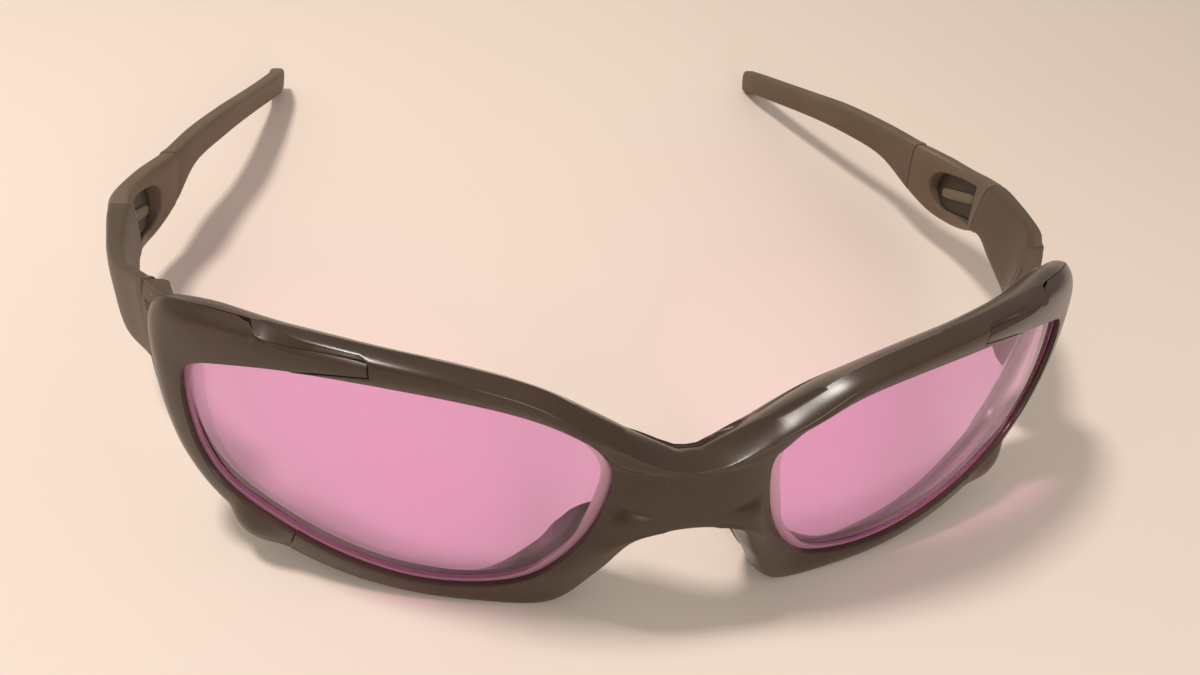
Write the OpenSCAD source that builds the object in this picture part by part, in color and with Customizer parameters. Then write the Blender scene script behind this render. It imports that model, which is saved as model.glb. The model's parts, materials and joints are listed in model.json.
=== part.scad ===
// Wraparound safety glasses: a full frame with two curved lenses, an opening
// gate at each outer corner, folding temples and rubber ear socks.
// The origin is under the middle of the glasses on the surface they lie on.
// The lenses face -Y, the temples point to +Y and +Z is up.
// Left and right are the wearer's: the left half is on the +X side.

/* [Lenses] */
// Radius of the lens's middle surface
lens_r = 62.3; // [60:0.1:66]
// Lens thickness
lens_t = 2.0; // [1.6:0.1:2.4]
// Turn of each lens's own axis, outward from straight ahead
wrap_a = 19; // [16:0.5:21]
// Distance of the lens sphere's centre from the symmetry plane
lens_cx = 14.3; // [13.5:0.1:15.5]
// Width of the opening that shows the lens
opening_w = 53; // [50:0.5:54]
// Height of the opening that shows the lens
opening_h = 32; // [30:0.5:33]

/* [Frame] */
// Depth of the groove that holds the lens edge
groove_d = 1.0; // [0.6:0.1:1.4]
// Height of the front lip above the lens's middle surface
lip_front = 1.9; // [1.7:0.1:2.2]
// Depth of the back lip below the lens's middle surface
lip_back = 2.2; // [1.9:0.1:2.5]
// Height of the lens sphere's centre above the table
lens_cz = 16.2; // [16:0.1:17]
// Fore and aft place of the lens sphere's centre
lens_cy = -2.4; // [-3.9:0.1:-0.9]
// Play between the lens and its groove
lens_play = 0.05; // [0.03:0.01:0.08]

/* [Gates] */
// Gap between a gate and the frame under it
gate_gap = 0.1; // [0.05:0.01:0.15]
// Height of the gate's hinge line above the lens centre
gate_axis_q = 21.0; // [20.8:0.05:21.2]
// Outer diameter of the gate's hinge barrel
barrel_d = 1.2; // [1.1:0.05:1.4]
// Diameter of the gate's hinge pin
gate_pin_d = 0.6; // [0.5:0.05:0.65]
// Length of the hinge barrel
barrel_len = 7; // [5:0.5:7.5]
// How far the gate pin is pressed into the brow
gate_pin_seat = 4; // [3:0.5:5]
// How far the thumb tab stands out from the rim
tab_out = 1.6; // [1:0.1:2]
// Height that the thumb tab adds to the rim
tab_up = 1.1; // [0.6:0.1:1.6]

/* [Temple hinges] */
// How far the hinge axis stands outward of the rim's back edge at the outer corner
hinge_out = 1.566; // [1.4:0.002:1.8]
// How far the hinge axis stands behind that edge
hinge_behind = 4.86; // [4.4:0.01:5.3]
// Radius of the hinge lugs
lug_r = 1.85; // [1.8:0.05:1.9]
// Diameter of the hinge screw's shank
hinge_screw_d = 1.5; // [1.4:0.1:1.6]
// Bottom of the hinge block
block_z0 = 13.0; // [12:0.5:14]
// Top of the hinge block
block_z1 = 31.0; // [30:0.5:31.5]
// Bottom of the moving knuckle
knuckle_z0 = 19.0; // [18:0.5:20]
// Top of the moving knuckle
knuckle_z1 = 26.5; // [26:0.5:27.5]

/* [Tables] */
// Length of one unit in the rim and side tables
table_unit = 1.0; // [0.95:0.01:1.05]

/* [Temples] */
// Distance from the front end of the arm to the tip of the ear sock
side_len = 100.6; // [95:0.1:106]
// Thickness of the badge plate in the temple's window
plate_t = 1.0; // [0.8:0.1:1.4]
// How far the plate's rear end is turned in, as the temple bends
plate_turn = 7; // [4:1:9]
// Width of the temple's window
window_w = 13.0; // [11:0.2:13.4]
// Height of the temple's window
window_h = 7.2; // [6:0.2:7.4]
// How far the window's front end is turned up
window_turn = 18; // [12:1:20]
// Diameter of the dowel in the elbow seam
dowel_d = 1.8; // [1.4:0.1:2]
// Length of the dowel in the elbow seam
dowel_len = 5; // [4:0.5:6]

/* [Hidden] */
$fn = 48;
steps = 4;
eps = 0.001;

// Where the groove walls lie, above and below the lens's middle surface
groove_h = lens_t / 2 + lens_play;
gate_h = groove_h + gate_gap;
// Hinge line and seam of the gate, above the lens centre
barrel_r = barrel_d / 2;
barrel_lift = 0.05;
axis_h = gate_h + barrel_r + barrel_lift;
barrel_bite = 0.1;
barrel_room = 0.3;
gate_top_q = gate_axis_q - barrel_r + barrel_bite;
seam_q = gate_axis_q + barrel_r + barrel_room;
// Stations along the rim where the gate begins and ends
gate_first = 15.75;
gate_last = 4;
station_clear = 0.04;

// Rim table, one row for each place round the lens, from the outer corner over
// the brow, down the nose and back along the bottom.
// Opening edge as shares of its width and height, edge as an offset from it,
// crest height, back edge as an offset, back height, wall at the back edge,
// height of the outermost line, and where the crest lies across the face.
rim = [
    [ 0.523,  0.290,   6.0, -0.3, 2.1,   5.4, -0.2, -2.8, 1.2, -0.3, 0.45],
    [ 0.503,  0.410,   6.8,  3.0, 2.2,   5.7,  1.3, -2.8, 1.2,  0.0, 0.55],
    [ 0.385,  0.506,   5.3,  4.4, 2.5,   4.0,  2.2, -3.4, 1.0,  1.05, 0.75],
    [ 0.226,  0.580,   1.6,  4.2, 2.8,   1.0,  0.6, -4.0, 1.0,  1.05, 0.85],
    [ 0.057,  0.608,   0.4,  3.8, 3.0,   0.0, -1.2, -5.3, 1.0,  1.05, 0.85],
    [-0.113,  0.599,  -0.6,  3.5, 3.2,  -0.2, -2.4, -6.1, 1.0,  1.05, 0.85],
    [-0.264,  0.550,  -1.6,  2.8, 3.3,  -1.0, -4.0, -7.0, 1.0,  1.05, 0.85],
    [-0.387,  0.455,  -3.3,  1.0, 3.6,  -2.2, -4.5, -6.6, 1.2,  1.05, 0.85],
    [-0.457,  0.321, -17.8, -0.3, 5.2, -11.8, -2.4, -1.0, 1.8,  1.05, 0.85],
    [-0.462,  0.165, -17.5, -3.9, 6.4, -11.5, -3.1,  0.2, 1.8,  1.05, 0.85],
    [-0.434, -0.027,  -6.8,  1.8, 5.0,  -2.2,  0.2, -4.5, 3.0,  1.05, 0.85],
    [-0.377, -0.204,  -5.3, -0.7, 3.7,  -1.6, -0.1, -5.6, 3.0,  1.05, 0.85],
    [-0.298, -0.340,  -3.8, -5.3, 3.0,  -0.8, -2.7, -5.6, 1.6,  1.05, 0.85],
    [-0.179, -0.399,  -0.5, -3.5, 2.5,  -0.2, -3.0, -3.0, 0.8,  1.05, 0.85],
    [-0.019, -0.403,   0.0, -3.0, 2.3,   0.0, -2.8, -2.8, 0.7,  1.05, 0.85],
    [ 0.151, -0.335,   0.6, -4.0, 2.2,   0.5, -3.7, -2.8, 0.8,  1.05, 0.85],
    [ 0.292, -0.247,   1.7, -4.7, 2.2,   1.5, -4.3, -2.8, 0.8,  1.0, 0.75],
    [ 0.432, -0.145,   2.5, -3.9, 2.1,   2.3, -3.8, -2.8, 0.8,  0.4, 0.55],
    [ 0.492, -0.007,   4.0, -3.2, 2.1,   3.6, -3.0, -2.8, 0.8,  0.0, 0.45],
    [ 0.516,  0.140,   5.1, -1.7, 2.1,   4.6, -1.7, -2.8, 1.0, -0.3, 0.45]
];
count = len(rim);
lower_half = count / 2;

// Smooth curve through four neighbouring rows
function blend(a, b, c, d, t) =
    0.5 * (2 * b + (c - a) * t + (2 * a - 5 * b + 4 * c - d) * t * t
    + (3 * b - a - 3 * c + d) * t * t * t);
function turn(i, n) = (i + n) % n;
function rim_row(i) = let (r = rim[turn(i, count)])
    [r[0], r[1], each [for (k = [2 : 9]) r[k] * table_unit], r[10]];
function rim_at(t) = let (i = floor(t), f = t - i)
    blend(rim_row(i - 1), rim_row(i), rim_row(i + 1), rim_row(i + 2), f);

// A place near the lens: across and up in the lens's own plane, and the height
// above its middle surface. Past the symmetry plane it slides back onto it.
function place(p, q, h) =
    let (rr = lens_r + h,
         m = sqrt(rr * rr - p * p - q * q),
         x = lens_cx + p * cos(wrap_a) + m * sin(wrap_a))
    x > 0
        ? [x, lens_cy + p * sin(wrap_a) - m * cos(wrap_a), max(0, lens_cz + q)]
        : [0, lens_cy - sqrt(rr * rr - lens_cx * lens_cx - q * q), max(0, lens_cz + q)];

function inner(r) = [r[0] * opening_w, r[1] * opening_h];
function edge(r) = inner(r) + [r[2], r[3]];
function back(r) = inner(r) + [r[5], r[6]];
function outward(r) = let (v = edge(r) - inner(r)) v / norm(v);
function spot(v, h) = place(v[0], v[1], h);

// Height of the front face at share s of the way from the opening to the edge
function face_h(r, s) = let (c = r[10]) s < c
    ? lip_front + (r[4] - lip_front) * (1 - pow(1 - s / c, 2))
    : r[9] + (r[4] - r[9]) * sqrt(max(0, 1 - pow((s - c) / (1 - c), 2)));
function face_spot(r, s) = spot(inner(r) + s * (edge(r) - inner(r)), face_h(r, s));
function mix(a, b, s) = a + s * (b - a);
// Level part of the gate's seat, as a share of the face, before it falls outward
floor_share = 0.32;
function level_share(t) = t > lower_half ? floor_share : mix(floor_share, 1, min(1, max(0, t - 1)));

// Share of the front face that lies below the level q, or all of it
function share_below(r, q) =
    let (low = inner(r)[1], high = edge(r)[1])
    high <= q ? 1 : max(0, (q - low) / (high - low));

// Points across the front face, as shares of what the gate leaves of it
face_shares = [0, 0.35, 0.70, 0.92];
// Bulge of the outer side, and height of its rounded back edge
side_bulge = 0.3;
back_edge = 0.7;

// One section of the frame; cut is the share of the front face left to the gate
function frame_section(r, cut, level = 1) =
    let (wide = edge(r) - inner(r), whole = cut == 1,
         floor_end = inner(r) + (whole ? level : cut) * wide)
    [ spot(inner(r) + groove_d * outward(r), groove_h),
      spot(floor_end, groove_h),
      each [for (s = face_shares) whole ? spot(edge(r), r[9]) : face_spot(r, mix(cut, 1, s))],
      spot(edge(r), r[9]),
      spot(mix(edge(r), back(r), 0.5) + side_bulge * outward(r), mix(r[9], r[7], 0.5)),
      spot(back(r), r[7] + back_edge),
      spot(back(r) - r[8] * outward(r), r[7]),
      spot(inner(r), -lip_back),
      spot(inner(r), -groove_h),
      spot(inner(r) + groove_d * outward(r), -groove_h)
    ];

// Share of the front face that the gate takes at station t
function in_gate(t) = t >= gate_first || t <= gate_last;
function gate_cut(t) = let (r = rim_at(t)) t > lower_half ? 1 : share_below(r, seam_q);

// Rows between which the outer faces follow the bridge: they reach the symmetry
// plane squarely, so that the two halves meet without a crease
bridge_first = 6;
bridge_top = 8;
bridge_under = 9;
bridge_last = 11;
outer_from = 3;
outer_to = 9;
key_sections = [for (i = [bridge_first - 1 : bridge_last + 1]) frame_section(rim_row(i), 0)];
function key(i) = key_sections[i - bridge_first + 1];
function flipped(v) = [-v[0], v[1], v[2]];
function bridge_spot(i, f, k) =
    let (before = i == bridge_under ? flipped(key(i + 1)[k]) : key(i - 1)[k],
         after = i == bridge_top - 1 ? flipped(key(i)[k]) : key(i + 2)[k],
         v = i == bridge_top ? key(i)[k] + f * (key(i + 1)[k] - key(i)[k])
                             : blend(before, key(i)[k], key(i + 1)[k], after, f))
    [max(0, v[0]), v[1], max(0, v[2])];
function bridge_section(t) =
    let (i = floor(t), plain = frame_section(rim_at(t), 0))
    [for (k = [0 : len(plain) - 1])
        k >= outer_from && k <= outer_to ? bridge_spot(i, t - i, k) : plain[k]];

rim_ts = [for (i = [0 : count * steps - 1]) i / steps];
frame_sections = [
    for (t = rim_ts)
        each t == gate_first ? [frame_section(rim_at(t), 0), frame_section(rim_at(t), 1, level_share(t))]
           : t == gate_last ? [frame_section(rim_at(t), gate_cut(t)), frame_section(rim_at(t), 0)]
           : t >= bridge_first && t < bridge_last ? [bridge_section(t)]
           : [frame_section(rim_at(t), in_gate(t) ? gate_cut(t) : 0, level_share(t))]
];

function same(a, b) = norm(a - b) < eps;
function on_plane(a, b, c) = a[0] < eps && b[0] < eps && c[0] < eps;
function real_face(pts, f) =
    let (a = pts[f[0]], b = pts[f[1]], c = pts[f[2]])
    !same(a, b) && !same(b, c) && !same(a, c);

// Faces between the neighbouring rows of a grid with n points in a row
function grid_faces(rows, n, closed, base, flip) = [
    for (i = [0 : rows - (closed ? 1 : 2)], j = [0 : n - 1])
        let (a = base + i * n + j, b = base + i * n + (j + 1) % n,
             c = base + ((i + 1) % rows) * n + (j + 1) % n,
             d = base + ((i + 1) % rows) * n + j)
        each flip ? [[a, b, c], [a, c, d]] : [[a, c, b], [a, d, c]]
];

module frame_body() {
    n = len(frame_sections[0]);
    rows = len(frame_sections);
    near = [for (s = frame_sections, v = s) v];
    far = [for (v = near) [-v[0], v[1], v[2]]];
    pts = concat(near, far);
    faces = concat(grid_faces(rows, n, true, 0, false), grid_faces(rows, n, true, rows * n, true));
    kept = [for (f = faces) if (real_face(pts, f)
        && !on_plane(abs_x(pts[f[0]]), abs_x(pts[f[1]]), abs_x(pts[f[2]]))) f];
    polyhedron(points = pts, faces = kept, convexity = 10);
}
function abs_x(v) = [abs(v[0]), v[1], v[2]];

module front_frame() {
    color("#3b2f2a") frame_body();
}

// A solid through a row of sections, closed at both ends
module loft(sections) {
    n = len(sections[0]);
    rows = len(sections);
    pts = [for (s = sections, v = s) v];
    sides = [for (f = grid_faces(rows, n, false, 0, true)) if (real_face(pts, f)) f];
    first = [for (j = [0 : n - 1]) n - 1 - j];
    last = [for (j = [0 : n - 1]) (rows - 1) * n + j];
    polyhedron(points = pts, faces = concat(sides, [first, last]), convexity = 6);
}

// The lens's outline in its own plane, a little smaller than the groove
module lens_outline() {
    polygon([for (t = rim_ts) let (r = rim_at(t))
        inner(r) + (groove_d - 2 * lens_play) * outward(r)]);
}
module lens() {
    color("#d98bb8", 0.6)
    translate([lens_cx, lens_cy, lens_cz])
    intersection() {
        difference() {
            sphere(r = lens_r + lens_t / 2, $fn = 96);
            sphere(r = lens_r - lens_t / 2, $fn = 96);
        }
        rotate([0, 0, wrap_a])
        rotate([90, 0, 0])
        linear_extrude(height = lens_r + lens_t)
        lens_outline();
    }
}

// The gate's thumb tab swells the rim near its lower end: it grows from the
// seam to its widest place and stops short after that
tab_stations = 1.02;
tab_peak = 0.62;
gate_edge = 0.35;
gate_shares = [0.9, 0.62, 0.3];
function ease(u) = u * u * (3 - 2 * u);
function tab_swell(t) = let (u = (t - gate_first) / tab_stations)
    u < 0 || u > 1 ? 0 : u < tab_peak ? ease(u / tab_peak) : 1 - pow((u - tab_peak) / (1 - tab_peak), 2);
function gate_row(t) = let (r = rim_at(t), k = tab_swell(t), o = outward(r))
    [r[0], r[1], r[2] + k * tab_out * o[0], r[3] + k * tab_out * o[1],
     r[4] + k * tab_up, r[5], r[6], r[7], r[8], r[9], r[10]];
function gate_share(t) = t > lower_half ? 1 : share_below(rim_at(t), gate_top_q);
function gate_section(t) =
    let (r = gate_row(t), s = gate_share(t), wide = edge(r) - inner(r),
         under = s < 1 ? gate_h : r[9] + gate_gap,
         end_h = max(face_h(r, s), under + gate_edge))
    [ spot(inner(r) + min(s, level_share(t)) * wide, gate_h),
      spot(inner(r) + s * wide, under),
      spot(inner(r) + s * wide, end_h),
      each [for (k = gate_shares) face_spot(r, k * s)],
      spot(inner(r), lip_front),
      spot(inner(r), gate_h)
    ];
gate_ts = concat(
    [gate_first + station_clear],
    [for (k = [gate_first * steps + 1 : (count + gate_last) * steps - 1]) k / steps % count],
    [gate_last - station_clear]);

module gate() {
    color("#3a2d26") loft([for (t = gate_ts) gate_section(t)]);
}

// The gate's hinge line runs level along the brow, outward from the hook end
hook_row = rim_at(gate_last);
hook_spot = place(inner(hook_row)[0], gate_axis_q, axis_h);
far_row = rim_at(gate_last - 1);
far_spot = place(inner(far_row)[0], gate_axis_q, axis_h);
hinge_run = (far_spot - hook_spot) / norm(far_spot - hook_spot);
hinge_turn = atan2(hinge_run[1], hinge_run[0]);
module gate_rod(start, length, diameter) {
    translate(hook_spot + start * hinge_run)
    rotate([0, 90, hinge_turn])
    cylinder(d = diameter, h = length);
}
barrel_start = 0.8;
barrel_play = 0.02;
pin_play = 0.05;
module gate_barrel() {
    color("#a8a39a") difference() {
        gate_rod(barrel_start, barrel_len, barrel_d - barrel_play);
        gate_rod(barrel_start - 1, barrel_len + 2, gate_pin_d + 2 * pin_play);
    }
}
module gate_pin() {
    color("#b9b6b0") gate_rod(-gate_pin_seat, gate_pin_seat + barrel_start + barrel_len, gate_pin_d);
}

// The hinge axis is placed from the rim's back edge at the outer corner
corner_row = rim_at(0);
corner = spot(back(corner_row), corner_row[7]);
hinge_x = corner[0] + hinge_out;
hinge_y = corner[1] + hinge_behind;

// Hinge block on the frame's outer corner: two lugs with the knuckle's space
// between them, open to the back and to the inside
turn_gap = 0.1;
lug_flat = lug_r - 0.1;
block_out = 2.6;
block_in = 3.1;
block_deep = 9;
block_slope = 15.5;
slope_y = hinge_y - 4.7;
knuckle_r = lug_r - 0.1;
space_r = lug_r + 0.05;
reach = 10;
screw_head_d = 2.8;
screw_head_h = 1.0;
slot_w = 0.5;
slot_deep = 0.5;
screw_end = block_z1 - 2.5;
wall_screw_d = 1.2;
wall_screw_len = 6.2;
wall_head_d = 2 * wall_screw_d;
wall_head_h = 0.7;
wall_head_play = 0.04;
wall_screw_z = (knuckle_z0 + knuckle_z1) / 2;
wall_screw_x = hinge_x - 1.3;
back_gap = 0.15;
rim_back = 2.8;
module at_hinge(z) {
    translate([hinge_x, hinge_y, z]) children();
}
module block_outline() {
    polygon(concat(
        [[block_out, lug_flat]],
        [for (a = [80 : 20 : 180]) lug_flat * [cos(a), sin(a)]],
        [[-block_in, -5], [-block_in, -block_deep], [-0.9, -block_deep], [-0.9, -5.9],
         [0.5, -4.5], [1.5, -3.1], [2.2, -1.6], [block_out, 0.2]]));
}
module hinge_block() {
    color("#3b2f2a") difference() {
        intersection() {
            at_hinge(block_z0) linear_extrude(height = block_z1 - block_z0) block_outline();
            translate([lens_cx, lens_cy, lens_cz])
            sphere(r = lens_r - rim_back - back_gap, $fn = 360);
        }
        // Slope of the top, down to the arm
        translate([hinge_x, slope_y, block_z1]) rotate([-block_slope, 0, 0])
        translate([-reach, -reach, 0]) cube([2 * reach, 3 * reach, reach]);
        // Space for the knuckle
        at_hinge(knuckle_z0 - turn_gap) {
            cylinder(r = space_r, h = knuckle_z1 - knuckle_z0 + 2 * turn_gap);
            translate([-reach, 0, 0]) cube([reach + space_r, reach, knuckle_z1 - knuckle_z0 + 2 * turn_gap]);
        }
        // Bores of the two screws
        at_hinge(block_z0 - 1) cylinder(d = hinge_screw_d, h = screw_end - block_z0 + 1);
        translate([wall_screw_x, hinge_y, wall_screw_z]) rotate([90, 0, 0]) {
            cylinder(d = wall_screw_d, h = reach);
            cylinder(d = wall_head_d, h = space_r + turn_gap + wall_head_h);
        }
    }
}
module hinge_screw() {
    color("#a8a39a") difference() {
        union() {
            at_hinge(block_z0 - screw_head_h) cylinder(d = screw_head_d, h = screw_head_h);
            at_hinge(block_z0 - screw_head_h)
            cylinder(d = hinge_screw_d, h = screw_end - block_z0 + screw_head_h);
        }
        at_hinge(block_z0 - screw_head_h)
        cube([screw_head_d + 1, slot_w, 2 * slot_deep], center = true);
    }
}
module block_screw() {
    color("#a8a39a") translate([wall_screw_x, hinge_y, wall_screw_z]) rotate([90, 0, 0]) {
        translate([0, 0, space_r + turn_gap]) cylinder(d = wall_head_d - wall_head_play, h = wall_head_h);
        translate([0, 0, space_r + turn_gap]) cylinder(d = wall_screw_d, h = wall_screw_len);
    }
}

// Side table from the hinge to the tip of the ear sock: share of the length,
// outer face from the hinge axis, thickness, top, bottom, and how far the
// bottom leans outward
side = [
    [0.000,  2.6, 2.7, 29.4, 13.2, 0.0],
    [0.031,  4.5, 2.7, 28.1, 13.2, 0.0],
    [0.075,  7.4, 2.8, 26.6, 13.1, 0.0],
    [0.124,  8.8, 3.0, 25.8, 13.1, 0.0],
    [0.173,  9.6, 3.3, 25.2, 13.8, 0.0],
    [0.212, 10.2, 3.6, 24.6, 14.6, 0.0],
    [0.243, 10.6, 3.9, 23.9, 13.8, 0.1],
    [0.290, 11.3, 3.8, 22.3, 10.8, 0.3],
    [0.339, 10.9, 3.6, 20.9,  8.7, 0.6],
    [0.388,  8.9, 3.5, 20.5,  8.2, 1.0],
    [0.437,  6.0, 3.4, 20.2,  9.4, 1.8],
    [0.534,  2.7, 3.4, 18.9, 11.2, 2.6],
    [0.632, -1.3, 3.3, 17.3, 10.6, 2.4],
    [0.730, -4.1, 3.3, 14.4,  8.5, 2.0],
    [0.827, -6.4, 3.3, 11.3,  5.7, 1.6],
    [0.925, -8.2, 3.3,  8.0,  2.6, 1.0],
    [0.990, -8.2, 3.2,  5.3,  0.0, 0.7]
];
function side_row(i) = let (r = side[i])
    [r[0], hinge_x + r[1] * table_unit, each [for (k = [2 : 5]) r[k] * table_unit]];
side_y = hinge_y + lug_flat + turn_gap;
elbow_row = 6;
seam_row = 10;
tang_t = 1.4;
tang_h = 5;
tang_rows = 1.5;
sock_play = 0.05;
seam_gap = 0.05;
function side_at(t) = let (n = len(side) - 1, i = min(floor(t), n - 1), f = t - i)
    blend(side_row(max(i - 1, 0)), side_row(i), side_row(i + 1), side_row(min(i + 2, n)), f);
function signed_power(v, e) = sign(v) * pow(abs(v), e);
// Rounded ring of the side at row t, its thickness and height as given
ring_points = 16;
ring_power = 0.5;
function side_ring(t, wide, high, shift) =
    let (r = side_at(t), mid = (r[3] + r[4]) / 2)
    [for (j = [0 : ring_points - 1]) let (a = 360 * (j + 0.5) / ring_points)
        [r[1] - r[2] / 2 + wide / 2 * signed_power(cos(a), ring_power)
            + r[5] * (0.5 - high / (r[3] - r[4]) * signed_power(sin(a), ring_power) / 2),
         side_y + side_len * r[0] + shift,
         mid + high / 2 * signed_power(sin(a), ring_power)]];
function full_ring(t, shift = 0) = let (r = side_at(t)) side_ring(t, r[2], r[3] - r[4], shift);

neck_len = 3.2;
hinge_play = 0.08;
module arm() {
    color("#6b6058") difference() {
        union() {
            loft([for (k = [0 : 2 * elbow_row]) full_ring(k / 2)]);
            at_hinge(knuckle_z0) cylinder(r = knuckle_r, h = knuckle_z1 - knuckle_z0);
            at_hinge(knuckle_z0) cube([knuckle_r, neck_len, knuckle_z1 - knuckle_z0]);
        }
        at_hinge(knuckle_z0 - 1)
        cylinder(d = hinge_screw_d + hinge_play, h = knuckle_z1 - knuckle_z0 + 2);
        elbow_dowel_shape();
    }
}

// Dowel that joins the arm to the temple, above the window
elbow = side_at(elbow_row);
elbow_y = side_y + side_len * elbow[0];
dowel_z = elbow[3] - 2.4;
module elbow_dowel_shape() {
    translate([elbow[1] - elbow[2] / 2, elbow_y - dowel_len / 2, dowel_z])
    rotate([-90, 0, 0]) cylinder(d = dowel_d, h = dowel_len);
}
module elbow_dowel() {
    color("#a8a39a") elbow_dowel_shape();
}

// Window in the temple: straight in front and round behind
window_y = elbow_y + 2.2;
window_z = 15.6;
window_from = elbow[1] - 4 * elbow[2];
window_to = elbow[1] + 2 * elbow[2];
plate_x = elbow[1] - 1.6;
plate_play = 0.12;
module window_outline(inset) {
    translate([inset, 0]) square([window_w - window_h / 2 - inset, window_h - 2 * inset]);
    translate([window_w - window_h / 2, window_h / 2 - inset]) circle(d = window_h - 2 * inset);
}
module window_prism(inset, near, far) {
    translate([far, window_y + window_w / 2, window_z])
    rotate([-window_turn, 0, 0])
    translate([0, -window_w / 2, -window_h / 2 + inset])
    rotate([0, -90, 0])
    linear_extrude(height = far - near)
    mirror([1, -1])
    window_outline(inset);
}
module temple() {
    color("#5d5446") difference() {
        loft(concat(
            [for (k = [2 * elbow_row : 2 * seam_row]) full_ring(k / 2, k == 2 * elbow_row ? seam_gap : 0)],
            [side_ring(seam_row, tang_t, tang_h, 0),
             side_ring(seam_row + 1, tang_t, tang_h, 0),
             side_ring(seam_row + tang_rows, tang_t, tang_h, 0)]));
        window_prism(0, window_from, window_to);
        elbow_dowel_shape();
    }
}
module temple_badge() {
    color("#8a8172") intersection() {
        window_prism(plate_play, window_from, window_to);
        translate([plate_x, window_y + window_w / 2, window_z])
        rotate([0, 0, plate_turn])
        cube([plate_t, 2 * window_w, 2 * window_w], center = true);
    }
}
// The sock is a sleeve over the temple's tang, with a rounded tip
sleeve_t = tang_t + 2 * sock_play;
sleeve_h = tang_h + 2 * sock_play;
sleeve_end = seam_row + tang_rows + 0.02;
tip_t = 1.6;
tip_h = 3.4;
tip_out = 0.7;
module ear_sock() {
    color("#4f473a") loft(concat(
        [side_ring(sleeve_end, sleeve_t, sleeve_h, 0),
         side_ring(seam_row + 1, sleeve_t, sleeve_h, 0),
         side_ring(seam_row, sleeve_t, sleeve_h, seam_gap)],
        [for (k = [2 * seam_row : 2 * (len(side) - 1)]) full_ring(k / 2, k == 2 * seam_row ? seam_gap : 0)],
        [side_ring(len(side) - 1, tip_t, tip_h, tip_out)]));
}

// Nose pad on the nasal wall of the rim, a little clear of it
pad_t = 1.2;
pad_gap = 0.1;
pad_first = 10.2;
pad_last = 11.9;
function pad_base(t) = let (s = t < bridge_last ? bridge_section(t) : frame_section(rim_at(t), 0))
    [s[6], s[7], s[8]];
function pad_way(t) = let (a = pad_base(t - 0.1), b = pad_base(t + 0.1),
    v = cross(b[1] - a[1], pad_base(t)[2] - pad_base(t)[0])) v / norm(v);
pad_rim = 0.4;
pad_steps = 6;
function pad_swell(t) = let (u = 2 * (t - pad_first) / (pad_last - pad_first) - 1)
    pad_gap + pad_rim + (pad_t - pad_rim) * sqrt(max(0, 1 - u * u));
function pad_section(t) =
    let (b = pad_base(t), o = -pad_way(t), up = pad_gap * o, out = pad_swell(t) * o)
    [ mix(b[0], b[1], 0.5) + up,
      b[1] + up,
      mix(b[2], b[1], 0.1) + up,
      mix(b[2], b[1], 0.25) + out,
      b[1] + out,
      mix(b[0], b[1], 0.65) + out
    ];
module nose_pad() {
    color("#4f473a")
    loft([for (k = [0 : pad_steps]) pad_section(mix(pad_first, pad_last, k / pad_steps))]);
}

module right() {
    mirror([1, 0, 0]) children();
}

front_frame();
lens();  // left_lens
right() lens();  // right_lens
gate();  // left_gate
right() gate();  // right_gate
gate_barrel();  // left_gate_barrel
right() gate_barrel();  // right_gate_barrel
gate_pin();  // left_gate_pin
right() gate_pin();  // right_gate_pin
hinge_block();  // left_hinge_block
right() hinge_block();  // right_hinge_block
hinge_screw();  // left_hinge_screw
right() hinge_screw();  // right_hinge_screw
block_screw();  // left_block_screw
right() block_screw();  // right_block_screw
arm();  // left_arm
right() arm();  // right_arm
elbow_dowel();  // left_elbow_dowel
right() elbow_dowel();  // right_elbow_dowel
temple();  // left_temple
right() temple();  // right_temple
temple_badge();  // left_temple_badge
right() temple_badge();  // right_temple_badge
ear_sock();  // left_ear_sock
right() ear_sock();  // right_ear_sock
nose_pad();  // left_nose_pad
right() nose_pad();  // right_nose_pad
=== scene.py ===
# Wraparound safety glasses: the looks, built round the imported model.
# Shapes are worked out in millimetres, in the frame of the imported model, for
# the half on the +X side, and mirrored for the other half.
# A place along the rim is a row number: the rows run from the outer corner over
# the brow to the nose, and back below the lens. A share is a part of the way
# from the lens opening to the rim's outer edge.
import json
import math
from collections import namedtuple

import bmesh
import bpy
from mathutils import Matrix, Vector


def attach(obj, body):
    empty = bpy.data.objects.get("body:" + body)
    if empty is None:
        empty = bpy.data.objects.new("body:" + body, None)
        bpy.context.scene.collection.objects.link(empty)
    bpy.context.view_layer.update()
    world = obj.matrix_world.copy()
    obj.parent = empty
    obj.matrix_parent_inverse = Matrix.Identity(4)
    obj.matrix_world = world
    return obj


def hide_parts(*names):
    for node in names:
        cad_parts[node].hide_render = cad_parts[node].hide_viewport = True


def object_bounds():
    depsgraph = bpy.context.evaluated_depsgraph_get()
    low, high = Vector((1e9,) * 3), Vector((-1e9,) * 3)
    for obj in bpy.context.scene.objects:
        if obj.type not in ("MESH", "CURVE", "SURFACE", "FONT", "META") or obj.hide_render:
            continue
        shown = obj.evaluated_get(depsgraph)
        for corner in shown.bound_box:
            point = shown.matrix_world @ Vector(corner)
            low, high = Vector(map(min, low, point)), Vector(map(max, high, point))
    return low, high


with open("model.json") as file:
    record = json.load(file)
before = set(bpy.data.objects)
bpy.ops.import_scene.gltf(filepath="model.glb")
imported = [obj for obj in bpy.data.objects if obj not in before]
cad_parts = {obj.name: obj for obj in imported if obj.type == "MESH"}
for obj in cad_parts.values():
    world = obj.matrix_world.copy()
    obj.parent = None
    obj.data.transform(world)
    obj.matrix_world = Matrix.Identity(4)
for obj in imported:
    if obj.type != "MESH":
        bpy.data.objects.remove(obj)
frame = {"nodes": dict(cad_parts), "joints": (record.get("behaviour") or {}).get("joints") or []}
cad_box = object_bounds()
MM = 0.001


def joint_line(name):
    """A joint's place in millimetres and its axis."""
    found = next(j for j in frame["joints"] if j["name"] == name)
    return [v / MM for v in found["pos_m"]], found["axis"]


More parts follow.
